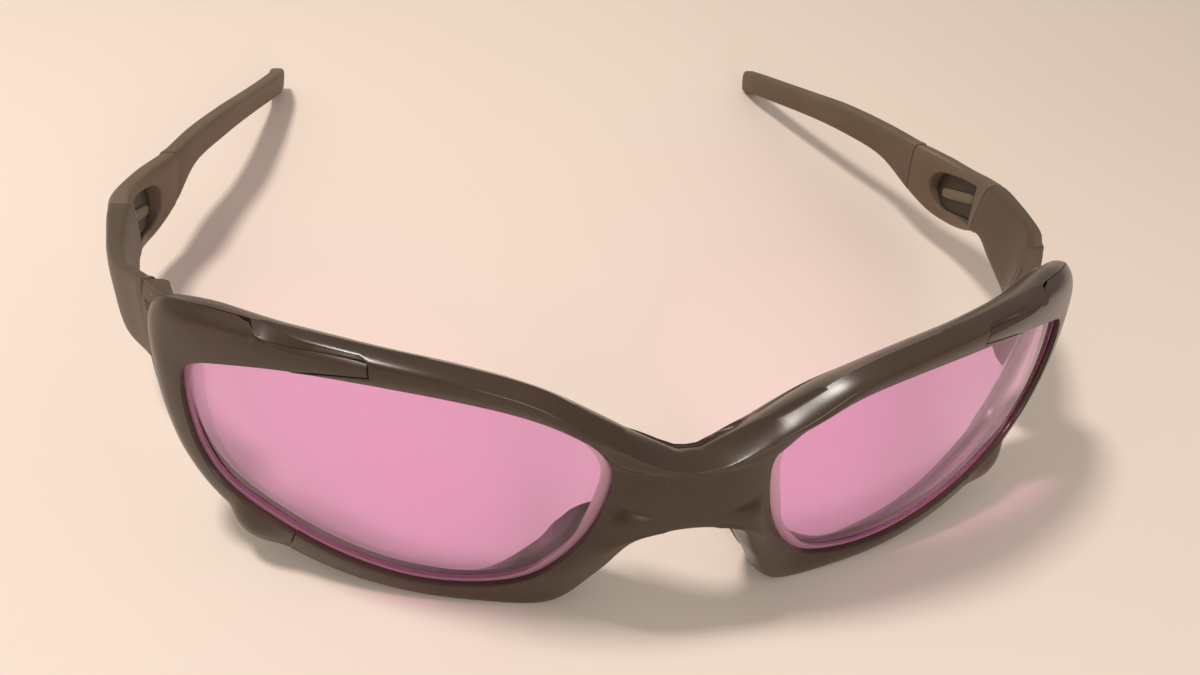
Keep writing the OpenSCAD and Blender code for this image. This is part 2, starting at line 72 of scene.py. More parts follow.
# Driving sizes, as in the CAD source: the lens is part of a ball, whose middle
# lies at LENS_CX, LENS_CY and LENS_CZ, and it is turned outward by WRAP
LENS_R = 62.3
LENS_T = 2.0
WRAP = math.radians(19)
LENS_CX = 14.3
LENS_CY = -2.4
LENS_CZ = 16.2
OPENING_W = 53.0
OPENING_H = 32.0
GROOVE_D = 1.0
LIP_FRONT = 1.9
LIP_BACK = 2.2
LENS_PLAY = 0.05
GATE_GAP = 0.1
# The gate's hinge line lies at this level above the lens's middle
AXIS_Q = 21.0
BARREL_R = 0.6
LUG_R = 1.85
KNUCKLE_Z = (19.0, 26.5)
SCREW_D = 1.5
SIDE_LEN = 100.6
WINDOW_W = 13.0
WINDOW_H = 7.2
WINDOW_Z = 15.6
WINDOW_FROM = 2.2
WINDOW_TURN = math.radians(18)
PLATE_T = 1.0
PLATE_X = 72.0
PLATE_TURN = math.radians(7)

# Places and sizes that follow from them and from the frame
GROOVE_H = LENS_T / 2 + LENS_PLAY
GATE_H = GROOVE_H + GATE_GAP
SEAM_Q = AXIS_Q + BARREL_R + 0.3
(HINGE_X, HINGE_Y, _), _ = joint_line("left_temple_hinge")
SIDE_Y = HINGE_Y + LUG_R
LINE_SPOT, LINE_RUN = [Vector(v) for v in joint_line("left_gate_hinge")]
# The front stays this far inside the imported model's box
BOX_PLAY = 0.002
FRONT_Y = cad_box[0][1] / MM + BOX_PLAY
TOP_Z = cad_box[1][2] / MM - BOX_PLAY

# The opening's edge as shares of its width and height, the outer edge as an
# offset from it, the crest's height above the lens, the back edge as an offset
# and its height, the wall there, the outermost line's height, the crest's share
Rim = namedtuple("Rim", "across up edge_x edge_y crest back_x back_y back_h wall edge_h crest_at")
RIM = [
    Rim(0.523, 0.290, 6.0, -0.3, 2.1, 5.4, -0.2, -2.8, 1.2, -0.3, 0.45),
    Rim(0.503, 0.410, 6.8, 3.0, 2.2, 5.7, 1.3, -2.8, 1.2, 0.0, 0.55),
    Rim(0.385, 0.506, 5.3, 4.4, 2.5, 4.0, 2.2, -3.4, 1.0, 1.05, 0.75),
    Rim(0.226, 0.580, 1.6, 4.2, 2.8, 1.0, 0.6, -4.0, 1.0, 1.05, 0.85),
    Rim(0.057, 0.608, 0.4, 3.8, 3.0, 0.0, -1.2, -5.3, 1.0, 1.05, 0.85),
    Rim(-0.113, 0.599, -0.6, 3.5, 3.2, -0.2, -2.4, -6.1, 1.0, 1.05, 0.85),
    Rim(-0.264, 0.550, -1.6, 2.8, 3.3, -1.0, -4.0, -7.0, 1.0, 1.05, 0.85),
    Rim(-0.387, 0.455, -3.3, 1.0, 3.6, -2.2, -4.5, -6.6, 1.2, 1.05, 0.85),
    Rim(-0.457, 0.321, -17.8, -0.3, 5.2, -11.8, -2.4, -1.0, 1.8, 1.05, 0.85),
    Rim(-0.462, 0.165, -17.5, -3.9, 6.4, -11.5, -3.1, 0.2, 1.8, 1.05, 0.85),
    Rim(-0.434, -0.027, -6.8, 1.8, 5.0, -2.2, 0.2, -4.5, 3.0, 1.05, 0.85),
    Rim(-0.377, -0.204, -5.3, -0.7, 3.7, -1.6, -0.1, -5.6, 3.0, 1.05, 0.85),
    Rim(-0.298, -0.340, -3.8, -5.3, 3.0, -0.8, -2.7, -5.6, 1.6, 1.05, 0.85),
    Rim(-0.179, -0.399, -0.5, -3.5, 2.5, -0.2, -3.0, -3.0, 0.8, 1.05, 0.85),
    Rim(-0.019, -0.403, 0.0, -3.0, 2.3, 0.0, -2.8, -2.8, 0.7, 1.05, 0.85),
    Rim(0.151, -0.335, 0.6, -4.0, 2.2, 0.5, -3.7, -2.8, 0.8, 1.05, 0.85),
    Rim(0.292, -0.247, 1.7, -4.7, 2.2, 1.5, -4.3, -2.8, 0.8, 1.0, 0.75),
    Rim(0.432, -0.145, 2.5, -3.9, 2.1, 2.3, -3.8, -2.8, 0.8, 0.4, 0.55),
    Rim(0.492, -0.007, 4.0, -3.2, 2.1, 3.6, -3.0, -2.8, 0.8, 0.0, 0.45),
    Rim(0.516, 0.140, 5.1, -1.7, 2.1, 4.6, -1.7, -2.8, 1.0, -0.3, 0.45),
]
COUNT = len(RIM)
# Rows after this one run back below the lens
LOWER_HALF = COUNT / 2
# Steps per row of the frame and the gate
RIM_STEPS = 16

# Share of the length, outer face, thickness, top, bottom, lean of the bottom
Side = namedtuple("Side", "along outer thick top bottom lean")
SIDE = [
    Side(0.000, 65.6, 2.7, 29.4, 13.2, 0.0),
    Side(0.031, 67.5, 2.7, 28.1, 13.2, 0.0),
    Side(0.075, 70.4, 2.8, 26.6, 13.1, 0.0),
    Side(0.124, 71.8, 3.0, 25.8, 13.1, 0.0),
    Side(0.173, 72.6, 3.3, 25.2, 13.8, 0.0),
    Side(0.212, 73.2, 3.6, 24.6, 14.6, 0.0),
    Side(0.243, 73.6, 3.9, 23.9, 13.8, 0.1),
    Side(0.290, 74.3, 3.8, 22.3, 10.8, 0.3),
    Side(0.339, 73.9, 3.6, 20.9, 8.7, 0.6),
    Side(0.388, 71.9, 3.5, 20.5, 8.2, 1.0),
    Side(0.437, 69.0, 3.4, 20.2, 9.4, 1.8),
    Side(0.534, 65.7, 3.4, 18.9, 11.2, 2.6),
    Side(0.632, 61.7, 3.3, 17.3, 10.6, 2.4),
    Side(0.730, 58.9, 3.3, 14.4, 8.5, 2.0),
    Side(0.827, 56.6, 3.3, 11.3, 5.7, 1.6),
    Side(0.925, 54.8, 3.3, 8.0, 2.6, 1.0),
    Side(0.990, 54.8, 3.2, 5.3, 0.0, 0.7),
]
ELBOW_ROW = 6
SEAM_ROW = 10
LAST_ROW = len(SIDE) - 1

# The rows that the gate spans, past the last row and on from the first
GATE_FIRST = 15.75
GATE_LAST = 4.0
# Share that the floor under the gate reaches, away from its hinge
FLOOR_SHARE = 0.32
# The gate's pull tab: how far it stands out and up, its length in rows, and
# the part of that length before its highest place
TAB_OUT = 1.6
TAB_UP = 1.1
TAB_ROWS = 1.02
TAB_PEAK = 0.62
# Along the brow the gate narrows to a finger. Its upper edge comes down from
# the outer edge, by a small step and then by a longer fall
FINGER_FROM = 2.6
FINGER_STEP = 0.012
FINGER_STEP_ROWS = 0.1
FINGER_BEND = 2.66
FINGER_FALL = 0.31
FINGER_FALL_ROWS = 0.45
FINGER_GAP = 0.12
# A wedge of the frame's own lip comes up below the finger
WEDGE_FROM = 2.9
WEDGE_ROWS = 1.1
WEDGE_SHARE = 0.36
# Above the finger the frame's face starts again with a shallow facet, turned
# down about the hinge line by up to FACET_TURN
FACET_FIRST = 0.992
FACET_MOST = 0.985
FACET_LEAST = 0.006
FACET_TURN = 0.42
FACET_ROWS = 0.3
# Then comes a ridge. It starts inside the outer edge by RIDGE_IN in the end, is
# sunk near the finger's start, and meets the facet at the finger's end
RIDGE_FIRST_IN = 0.004
RIDGE_IN = 0.046
RIDGE_SINK = 0.15
RIDGE_SHUT_ROWS = 0.14
# Rounding of the lip's front edge, of the rim's back edge and of the back lip
LIP_ROUND = 0.25
BACK_ROUND = 0.7
HEM = 0.3
# How far the rim's outer side bulges, and how far the back lip is cut away
SIDE_BULGE = 0.3
RECESS = 0.7

# Points of one ring of the frame, by stretch: front lip, wall and front face,
# the last in a rising and a rounded part, then outer side and back edge
LIP_POINTS = 10
WALL_POINTS = 8
RISE_POINTS = 14
ROUND_POINTS = 8
SIDE_POINTS = 7
BACK_POINTS = 5
FACE_START = 2 + LIP_POINTS + WALL_POINTS
SIDE_START = FACE_START + RISE_POINTS + ROUND_POINTS
BACK_END = SIDE_START + SIDE_POINTS + BACK_POINTS

# Rows between which the outer faces follow the bridge
BRIDGE_FIRST, BRIDGE_TOP, BRIDGE_UNDER, BRIDGE_LAST = 6, 8, 9, 11
# Share from which a face follows it fully, and how round its back corner is
BRIDGE_BLEND = 0.35
BRIDGE_ROUND = 0.36
# Rows that the gate's end adds before the bridge
GATE_BEFORE_BRIDGE = 1
# The back is evened out between these rows, over this many steps each way
EVEN_FIRST, EVEN_LAST = 5.6, 10.6
EVEN_REACH = 6
# Smoothing about the bridge: half width, lowest height and number of rounds
BRIDGE_SMOOTHING = ((3.5, -1.0, 25), (9.0, 19.0, 10))
# Points that lie closer than this are merged
WELD = 0.002


def mix(a, b, s):
    return a + (b - a) * s


def clamp(v, low, high):
    return max(low, min(high, v))


def ease(u):
    """Rises smoothly from 0 to 1."""
    u = clamp(u, 0, 1)
    return u * u * (3 - 2 * u)


def power(v, e):
    return math.copysign(abs(v) ** e, v)


def blend(a, b, c, d, t):
    """Smooth curve through four neighbouring rows."""
    return 0.5 * (
        2 * b + (c - a) * t + (2 * a - 5 * b + 4 * c - d) * t * t
        + (3 * b - a - 3 * c + d) * t * t * t
    )


def curve3(a, b, c, n):
    """n points on the way from a to c, bent towards b, both ends included."""
    spots = []
    for k in range(n):
        u = k / (n - 1)
        spots.append(a * (1 - u) ** 2 + b * 2 * u * (1 - u) + c * u * u)
    return spots


# Places on the rim
def rim_at(t):
    i = math.floor(t)
    rows = [RIM[(i + k) % COUNT] for k in (-1, 0, 1, 2)]
    return Rim(*(blend(*column, t - i) for column in zip(*rows)))


def rows_from(t, row):
    """Rows from one place on the rim to another, the short way round."""
    return abs((t - row + COUNT / 2) % COUNT - COUNT / 2)


def place(v, h):
    """Lens coordinates (across, up) and a height above the lens to a point."""
    rr = LENS_R + h
    m = math.sqrt(rr * rr - v[0] * v[0] - v[1] * v[1])
    x = LENS_CX + v[0] * math.cos(WRAP) + m * math.sin(WRAP)
    z = max(0.0, LENS_CZ + v[1])
    if x > 0:
        return Vector((x, LENS_CY + v[0] * math.sin(WRAP) - m * math.cos(WRAP), z))
    return Vector((0, LENS_CY - math.sqrt(rr * rr - LENS_CX**2 - v[1] ** 2), z))


def inner(r):
    """The opening's edge, in lens coordinates."""
    return Vector((r.across * OPENING_W, r.up * OPENING_H))


def edge(r):
    """The rim's outermost line."""
    return inner(r) + Vector((r.edge_x, r.edge_y))


def back(r):
    """The rim's back edge."""
    return inner(r) + Vector((r.back_x, r.back_y))


def outward(r):
    return (edge(r) - inner(r)).normalized()


def spot_at(r, s, h):
    """A place at a share and a height above the lens."""
    return place(mix(inner(r), edge(r), s), h)


def face_h(r, s):
    """Height of the front face at a share: up to the crest, then round down."""
    if s < r.crest_at:
        return LIP_FRONT + (r.crest - LIP_FRONT) * (1 - (1 - s / r.crest_at) ** 2)
    past = (s - r.crest_at) / (1 - r.crest_at)
    return r.edge_h + (r.crest - r.edge_h) * math.sqrt(max(0.0, 1 - past**2))


def face_spot(r, s, sink=0.0):
    return spot_at(r, s, face_h(r, s) - sink)


def face_shares(r):
    """Shares of the front face's points."""
    c = r.crest_at
    rise = [c * k / RISE_POINTS for k in range(1, RISE_POINTS + 1)]
    turns = [math.radians(90 * k / ROUND_POINTS) for k in range(1, ROUND_POINTS + 1)]
    return rise + [c + (1 - c) * math.sin(a) for a in turns]


def share_at(r, q):
    """The share that lies at the level q."""
    low, high = inner(r)[1], edge(r)[1]
    return (q - low) / (high - low)


def share_below(r, q):
    """The share up to which the rim lies below the level q."""
    return 1.0 if edge(r)[1] <= q else max(0.0, share_at(r, q))


def side_line(r):
    """Three places on the rim's outer side: its outer line, its bulge and its back."""
    middle = mix(edge(r), back(r), 0.5) + SIDE_BULGE * outward(r)
    bulge = place(middle, mix(r.edge_h, r.back_h, 0.5))
    return [place(edge(r), r.edge_h), bulge, place(back(r), r.back_h + BACK_ROUND)]


# The gate's seam with the frame
def level_share(t):
    """The share that the floor under the gate reaches."""
    return FLOOR_SHARE if t > LOWER_HALF else mix(FLOOR_SHARE, 1, clamp(t - 1, 0, 1))


def axis_height(r):
    """Height of the hinge line above the lens at a row."""
    across = Vector((math.cos(WRAP), math.sin(WRAP), 0))
    start = LINE_SPOT - Vector((LENS_CX, LENS_CY, LENS_CZ))
    wanted = mix(inner(r), edge(r), 0.8)[0]
    reach = (wanted - start.dot(across)) / LINE_RUN.dot(across)
    return (start + reach * LINE_RUN).length - LENS_R


def finger_top(t):
    """Share of the gate's upper edge."""
    begin = FINGER_FROM - FINGER_STEP_ROWS
    if t > LOWER_HALF or t < begin:
        return 1.0
    step = FINGER_STEP * ease((t - begin) / FINGER_STEP_ROWS)
    turned = clamp((t - FINGER_BEND) / FINGER_FALL_ROWS, 0, 1)
    return 1 - step - FINGER_FALL * (1 - (1 - turned) ** 2) ** 0.7


def wedge_share(t):
    """Share that the frame's own lip reaches below the finger."""
    if t > LOWER_HALF or t < WEDGE_FROM:
        return 0.0
    return WEDGE_SHARE * ((t - WEDGE_FROM) / WEDGE_ROWS) ** 1.4


def finger_arc(t):
    """The finger is round about its hinge line: radius and angle of its corner."""
    r = rim_at(t)
    s = finger_top(t)
    q = mix(inner(r)[1], edge(r)[1], s) - AXIS_Q
    h = face_h(r, s) - axis_height(r)
    return math.hypot(q, h), math.atan2(h, q)


def turned_spot(r, radius, angle):
    """A place at a radius and angle about the gate's hinge line."""
    share = share_at(r, AXIS_Q + radius * math.cos(angle))
    return spot_at(r, share, axis_height(r) + radius * math.sin(angle))


def facet_start(t):
    """Share and height where the facet starts, and the angle about the hinge."""
    r = rim_at(t)
    if t < FINGER_BEND:
        return FACET_FIRST, r.edge_h, 0.0
    radius, angle = finger_arc(t)
    radius += FINGER_GAP
    angle = max(0.0, angle - FACET_TURN * ease((t - FINGER_BEND) / FACET_ROWS))
    share = share_at(r, AXIS_Q + radius * math.cos(angle))
    return clamp(share, 0, FACET_MOST), axis_height(r) + radius * math.sin(angle), angle


def ridge_share(t):
    """Share where the ridge starts."""
    far = 1 - RIDGE_FIRST_IN * ease((t - FINGER_FROM) / 0.2) - RIDGE_IN * ease((t - 2.75) / 0.5)
    shut = clamp((GATE_LAST - t) / RIDGE_SHUT_ROWS, 0, 1)
    first = facet_start(GATE_LAST)[0]
    return max(facet_start(t)[0] + FACET_LEAST, mix(first, far, math.sqrt(1 - (1 - shut) ** 2)))


def ridge_drop(t):
    """How far the ridge is sunk near the finger's start."""
    return RIDGE_SINK * ease((t - 2.55) / 0.12) * (1 - ease((t - 2.8) / 0.3))


def lowered_spot(r, s, down):
    """A place sunk below the face, but not below its outermost line."""
    s = min(s, 1.0)
    return spot_at(r, s, max(min(r.edge_h, face_h(r, s)), face_h(r, s) - down))


# Front frame
def lip_spots(r, lip_to):
    """The frame's own front lip, from the opening out to the share lip_to."""
    film = GROOVE_H + 0.05
    groove_end = spot_at(r, 0.99 * GROOVE_D / (edge(r) - inner(r)).length, film)
    if lip_to == 0:
        return [groove_end] * LIP_POINTS
    corner = place(inner(r), LIP_FRONT)
    spots = [place(inner(r), GROOVE_H)]
    spots += curve3(place(inner(r), LIP_FRONT - 0.2), corner, face_spot(r, 0.2 * lip_to), 4)
    spots += [face_spot(r, u * lip_to) for u in (0.6, 0.9)]
    return spots + [face_spot(r, lip_to, 0.08), spot_at(r, lip_to, film), groove_end]


def whole_face(r):
    """The rounded front edge of the opening and the front face."""
    first = LIP_ROUND / (edge(r) - inner(r)).length
    corner = place(inner(r), LIP_FRONT)
    spots = [place(inner(r), mix(GROOVE_H, LIP_FRONT, k / 4)) for k in (1, 2)]
    spots += curve3(place(inner(r), LIP_FRONT - LIP_ROUND), corner, face_spot(r, first), 6)
    return spots + [face_spot(r, max(s, first)) for s in face_shares(r)]


def parted_face(t, r, cut, start):
    """The wall behind the gate's finger, the facet above it and the ridge."""
    wall_s, wall_h, wall_a = facet_start(t)
    tip = 0.1 / (edge(r) - inner(r)).length
    foot = spot_at(r, min(cut, wall_s), GROOVE_H)
    if t < FINGER_BEND:
        wall = [mix(foot, spot_at(r, wall_s, wall_h), k / 2) for k in (1, 2, 2)]
    else:
        radius = finger_arc(t)[0] + FINGER_GAP
        wall = [turned_spot(r, radius, wall_a * k / 2) for k in (0, 1, 2)]
    steps = [(mix(wall_s, start, 0.5), 0.36), (start - tip * 0.3, 0.34)]
    steps += [(start, 0.1), (start + tip * 0.5, 0.02)]
    drop = ridge_drop(t)
    ridge = [lowered_spot(r, s, down + drop) for s, down in steps]
    return [foot] + wall + ridge + [lowered_spot(r, max(s, start + tip), drop) for s in face_shares(r)]


def back_spots(t, r, groove):
    """From the outermost line round the back to the lens groove."""
    out = outward(r)
    top, bulge, rim_back = side_line(r)
    spots = curve3(top, bulge * 2 - (top + rim_back) * 0.5, rim_back, SIDE_POINTS + 1)[1:]
    wall = place(back(r) - r.wall * out, r.back_h)
    spots += curve3(rim_back, place(back(r) - 0.1 * out, r.back_h), wall, BACK_POINTS + 1)[1:]
    # The back lip is cut away along the gate and the bottom
    away = min(rows_from(t, 18.5) - 2.5, rows_from(t, 16.25) - 4.25)
    lip_line = inner(r) + RECESS * (1 - ease(away)) * out
    lip_back = place(lip_line, -LIP_BACK)
    near = wall + (lip_back - wall) * (1 - HEM / max(0.4, (lip_back - wall).length))
    spots += [wall + (near - wall) * k / 4 for k in (1, 2, 3)]
    spots += curve3(near, lip_back, place(lip_line, HEM - LIP_BACK), 5)
    return spots + [place(lip_line, -GROOVE_H), place(groove, -GROOVE_H)]


def frame_section(t, cut, level=1.0, start=0.0, lip_to=0.0):
    """One ring of the frame: its face is whole if cut is 0, under the gate if
    cut is 1, and parted by the gate's finger in between."""
    r = rim_at(t)
    groove = inner(r) + GROOVE_D * outward(r)
    spots = [place(groove, GROOVE_H)] + lip_spots(r, lip_to)
    spots.append(spot_at(r, level if cut == 1 else cut, GROOVE_H))
    if cut == 1:
        spots += [place(edge(r), r.edge_h)] * (SIDE_START - FACE_START + WALL_POINTS)
    elif cut == 0:
        spots += whole_face(r)
    else:
        spots += parted_face(t, r, cut, start)
    return spots + back_spots(t, r, groove)


KEYS = {i: frame_section(i, 0) for i in range(BRIDGE_FIRST - 1, BRIDGE_LAST + 2)}


def flipped(v):
    return Vector((-v[0], v[1], v[2]))


def bridge_spot(i, f, k):
    """Point k of a ring, on a smooth curve through the bridge's own rings."""
    before = flipped(KEYS[i + 1][k]) if i == BRIDGE_UNDER else KEYS[i - 1][k]
    after = flipped(KEYS[i][k]) if i == BRIDGE_TOP - 1 else KEYS[i + 2][k]
    if i == BRIDGE_TOP:
        v = mix(KEYS[i][k], KEYS[i + 1][k], f)
    else:
        v = blend(before, KEYS[i][k], KEYS[i + 1][k], after, f)
    return Vector((max(0.0, v[0]), v[1], max(0.0, v[2])))


def bridge_section(t):
    """One ring of the frame that joins the bridge, away from the opening."""
    i = math.floor(t)
    spots = frame_section(t, 0)
    shares = face_shares(rim_at(t)) + [1] * (BACK_END - SIDE_START)
    for k, share in enumerate(shares, FACE_START):
        spots[k] = mix(spots[k], bridge_spot(i, t - i, k), ease(share / BRIDGE_BLEND))
    # The bridge's back corner is rounded off towards its crest
    crest = SIDE_START - 1
    for k in range(crest + 1, BACK_END):
        share = BRIDGE_ROUND * math.sin(math.pi * (k - crest) / (BACK_END - crest))
        spots[k] = mix(spots[k], spots[crest], share * ease(t - 6) * ease(10 - t))
    return spots


def frame_sections():
    rows = []
    for k in range(COUNT * RIM_STEPS):
        t = k / RIM_STEPS
        in_gate = t >= GATE_FIRST or t <= GATE_LAST
        if t > LOWER_HALF or t <= FINGER_FROM:
            cut = 1.0
        else:
            cut = min(share_below(rim_at(t), SEAM_Q), ridge_share(t))
        if t == GATE_FIRST:
            rows += [frame_section(t, 0), frame_section(t, 1, level_share(t))]
        elif t == GATE_LAST:
            rows += [frame_section(t, cut, 1, ridge_share(t), wedge_share(t)), frame_section(t, 0)]
        elif BRIDGE_FIRST <= t < BRIDGE_LAST:
            rows.append(bridge_section(t))
        elif in_gate:
            rows.append(frame_section(t, cut, level_share(t), ridge_share(t), wedge_share(t)))
        else:
            rows.append(frame_section(t, 0))
    return evened(rows)


def evened(rows):
    """Evens out the back of the rows at the bridge, along the rim."""
    first = GATE_BEFORE_BRIDGE + int(EVEN_FIRST * RIM_STEPS)
    last = GATE_BEFORE_BRIDGE + int(EVEN_LAST * RIM_STEPS)
    steps = range(-EVEN_REACH, EVEN_REACH + 1)
    even = [list(row) for row in rows]
    for i in range(first, last):
        for k in range(SIDE_START, BACK_END + 3):
            spot = sum((rows[i + d][k] for d in steps), Vector((0, 0, 0))) / len(steps)
            if rows[i][k][0] < 0.001:
                spot.x = 0
            even[i][k] = spot
    return even


# Meshes
def link(mesh, name):
    ob = bpy.data.objects.new(name, mesh)
    bpy.context.scene.collection.objects.link(ob)
    return ob


def finish_mesh(bm, name, side=1, angle=38):
    """Mirrors, merges, shades and links a mesh that is in millimetres."""
    bmesh.ops.remove_doubles(bm, verts=bm.verts, dist=WELD)
    bmesh.ops.dissolve_degenerate(bm, edges=bm.edges, dist=WELD / 2)
    bmesh.ops.recalc_face_normals(bm, faces=bm.faces)
    bmesh.ops.scale(bm, vec=(side * MM, MM, MM), verts=bm.verts)
    if side < 0:
        bmesh.ops.reverse_faces(bm, faces=bm.faces)
    limit = math.radians(angle)
    for f in bm.faces:
        f.smooth = True
    for e in bm.edges:
        e.smooth = len(e.link_faces) == 2 and e.calc_face_angle(0) < limit
    mesh = bpy.data.meshes.new(name)
    bm.to_mesh(mesh)
    bm.free()
    return link(mesh, name)


def add_band(bm, a, b, material=0):
    """Adds the faces between two closed rings of vertices."""
    n = len(a)
    for j in range(n):
        k = (j + 1) % n
        bm.faces.new((a[j], b[j], b[k], a[k])).material_index = material


def add_grid(bm, rows, closed_rows=False, ends=False):
    """Adds a tube through rows of points; each row is a closed ring."""
    verts = [[bm.verts.new(v) for v in row] for row in rows]
    for a, b in zip(verts, verts[1:]):
        add_band(bm, a, b)
    if closed_rows:
        add_band(bm, verts[-1], verts[0])
    if ends:
        bm.faces.new(verts[0])
        bm.faces.new(list(reversed(verts[-1])))


def tube(rows, name, side, angle=38):
    """A closed solid through rows of points."""
    bm = bmesh.new()
    add_grid(bm, rows, ends=True)
    return finish_mesh(bm, name, side, angle)


def make_front():
    bm = bmesh.new()
    rows = frame_sections()
    add_grid(bm, rows, closed_rows=True)
    add_grid(bm, [[flipped(v) for v in row] for row in rows], closed_rows=True)
    bmesh.ops.remove_doubles(bm, verts=bm.verts, dist=WELD)
    inside = [f for f in bm.faces if all(abs(v.co.x) < 0.001 for v in f.verts)]
    bmesh.ops.delete(bm, geom=inside, context="FACES")
    for half, low, rounds in BRIDGE_SMOOTHING:
        near = [v for v in bm.verts if abs(v.co.x) < half and v.co.z > low]
        for _ in range(rounds):
            bmesh.ops.smooth_vert(
                bm, verts=near, factor=0.5, use_axis_x=False, use_axis_y=True, use_axis_z=True
            )
    for v in bm.verts:
        v.co.y = max(v.co.y, FRONT_Y)
        v.co.z = clamp(v.co.z, 0.0, TOP_Z)
    return finish_mesh(bm, "front_skin")


# Gate: where the points of its face lie between its foot and its upper edge,
# and how far its two ends are rounded
FACE_STEPS = (0.04, 0.1, 0.17, 0.25, 0.33, 0.42, 0.5, 0.58, 0.66, 0.73, 0.8, 0.86, 0.91, 0.95, 0.98, 0.995)
END_ROUND = 0.12


def tab_swell(t):
    """How far the pull tab stands out at a row, from 0 to 1."""
    u = (t - GATE_FIRST) / TAB_ROWS
    if u < 0 or u > 1:
        return 0.0
    return ease(u / TAB_PEAK) if u < TAB_PEAK else 1 - ((u - TAB_PEAK) / (1 - TAB_PEAK)) ** 2


def gate_row(t):
    """The rim at a row, with the pull tab on it."""
    r = rim_at(t)
    swell = tab_swell(t)
    x, y = swell * TAB_OUT * outward(r)
    return r._replace(edge_x=r.edge_x + x, edge_y=r.edge_y + y, crest=r.crest + swell * TAB_UP)


def hood(r, s, low_s, bent):
    """Underside of the gate's top: bent over its hinge barrel."""
    if s == 1:
        return [spot_at(r, s, r.edge_h + GATE_GAP)] * 6
    axis = share_below(r, AXIS_Q)
    crown = axis_height(r) + BARREL_R + 0.03
    if axis >= 1 or low_s >= s:
        high = face_h(r, s) - 0.2
        return [spot_at(r, mix(low_s, s, k / 5), mix(GATE_H, high, k / 5)) for k in range(6)]
    spots = []
    for k in range(4):
        a = math.radians(90 - 30 * k)
        share = mix(low_s, axis, 1 - math.sin(a))
        spots.append(spot_at(r, share, min(mix(GATE_H, crown, math.cos(a)), face_h(r, share) - 0.06)))
    if bent:
        return spots + [turned_spot(r, BARREL_R + 0.03, math.radians(a)) for a in (65, 40)]
    return spots + [spot_at(r, u, min(crown, face_h(r, u) - 0.05)) for u in (mix(axis, s, 0.5), s)]


def gate_section(t, shrink=0.0):
    """One ring of the gate, drawn in by shrink."""
    r = gate_row(t)
    s = finger_top(t)
    foot = wedge_share(t) + min(0.05, 0.8 * wedge_share(t))
    low_s = max(foot, min(s, share_below(r, AXIS_Q - BARREL_R - 0.12)))
    bent = FINGER_BEND < t < LOWER_HALF
    if s < 1:
        inside, level = foot, low_s
        top_h = face_h(r, s) - shrink
    else:
        inside, level = 0, min(level_share(t), share_below(r, AXIS_Q - 0.1))
        top_h = max(face_h(r, s), r.edge_h + GATE_GAP + 0.35)
    spots = [spot_at(r, mix(inside, level, k), GATE_H) for k in (0.05, 0.5, 1.0)]
    spots += hood(r, s, low_s, bent)
    if bent:
        radius, angle = finger_arc(t)
        spots += [turned_spot(r, radius - shrink, angle * k) for k in (0.5, 0.66, 0.82, 0.98)]
    else:
        top = spot_at(r, s, top_h)
        near = face_spot(r, mix(foot, s, FACE_STEPS[-1]), shrink)
        spots += curve3(mix(spots[-1], top, 0.3), top, near, 5)[:-1]
    spots += [face_spot(r, mix(foot, s, u), shrink) for u in reversed(FACE_STEPS)]
    # The lip's edge is rounder over the gate's middle
    lip = 0.12 if foot > 0 else mix(LIP_ROUND, 0.7, 1 - ease(rows_from(t, 18.7) - 1))
    lip_end = face_spot(r, foot + lip / (edge(r) - inner(r)).length, shrink)
    spots += curve3(lip_end, face_spot(r, foot, shrink), face_spot(r, foot, lip + shrink), 5)
    return spots + [spot_at(r, foot, mix(GATE_H, LIP_FRONT, 0.3))]


def make_gate(side, name):
    first = int(GATE_FIRST * RIM_STEPS) + 1
    last = int((COUNT + GATE_LAST) * RIM_STEPS) - 1
    rows = [gate_section(GATE_FIRST + 0.012, END_ROUND), gate_section(GATE_FIRST + 0.025)]
    rows += [gate_section(k / RIM_STEPS % COUNT) for k in range(first, last + 1)]
    rows += [gate_section(GATE_LAST - 0.03), gate_section(GATE_LAST - 0.018, END_ROUND)]
    return tube(rows, name, side)


# Lens: steps per row along its outline, and rings from its middle outward
LENS_STEPS = 12
LENS_RINGS = 16


def ring_width(t):
    """Width of the lens's frosted edge ring: thin at the brow, widest at the nose."""
    brow = ease(2.6 - abs(t - 4.2))
    return mix(0.65, 1.7, ease(1 - abs(t - 9.6) / 4)) * (1 - 0.6 * brow)


def make_lens(side, name):
    """A curved lens; its edge ring has the second material."""
    bm = bmesh.new()
    outline, ring_line = [], []
    for k in range(COUNT * LENS_STEPS):
        r = rim_at(k / LENS_STEPS)
        outline.append(inner(r) + (GROOVE_D - 2 * LENS_PLAY) * outward(r))
        ring_line.append(inner(r) - ring_width(k / LENS_STEPS) * outward(r))
    middle = Vector((0.02 * OPENING_W, 0.1 * OPENING_H))
    walls = []
    for h in (LENS_T / 2, -LENS_T / 2):
        lines = [[mix(middle, v, i / LENS_RINGS) for v in ring_line] for i in range(1, LENS_RINGS + 1)]
        lines += [[mix(u, v, reach) for u, v in zip(ring_line, outline)] for reach in (0.5, 0.97)]
        loops = [[bm.verts.new(place(v, h)) for v in line] for line in lines]
        centre = bm.verts.new(place(middle, h))
        for a, b in zip(loops[0], loops[0][1:] + loops[0][:1]):
            bm.faces.new((centre, a, b))
        for i in range(len(loops) - 1):
            add_band(bm, loops[i], loops[i + 1], 1 if i >= LENS_RINGS - 1 else 0)
        walls.append(loops[-1])
    walls[1:1] = [[bm.verts.new(place(v, h)) for v in outline] for h in (0.85, -0.85)]
    for a, b in zip(walls, walls[1:]):
        add_band(bm, a, b, 1)
    return finish_mesh(bm, name, side, 30)


# Temples: points of one ring
RING_POINTS = 48
# The tongue that the temple pushes into its sock, and the sock's play round it
TONGUE_T = 1.4
TONGUE_H = 5.0
TONGUE_PLAY = 0.1


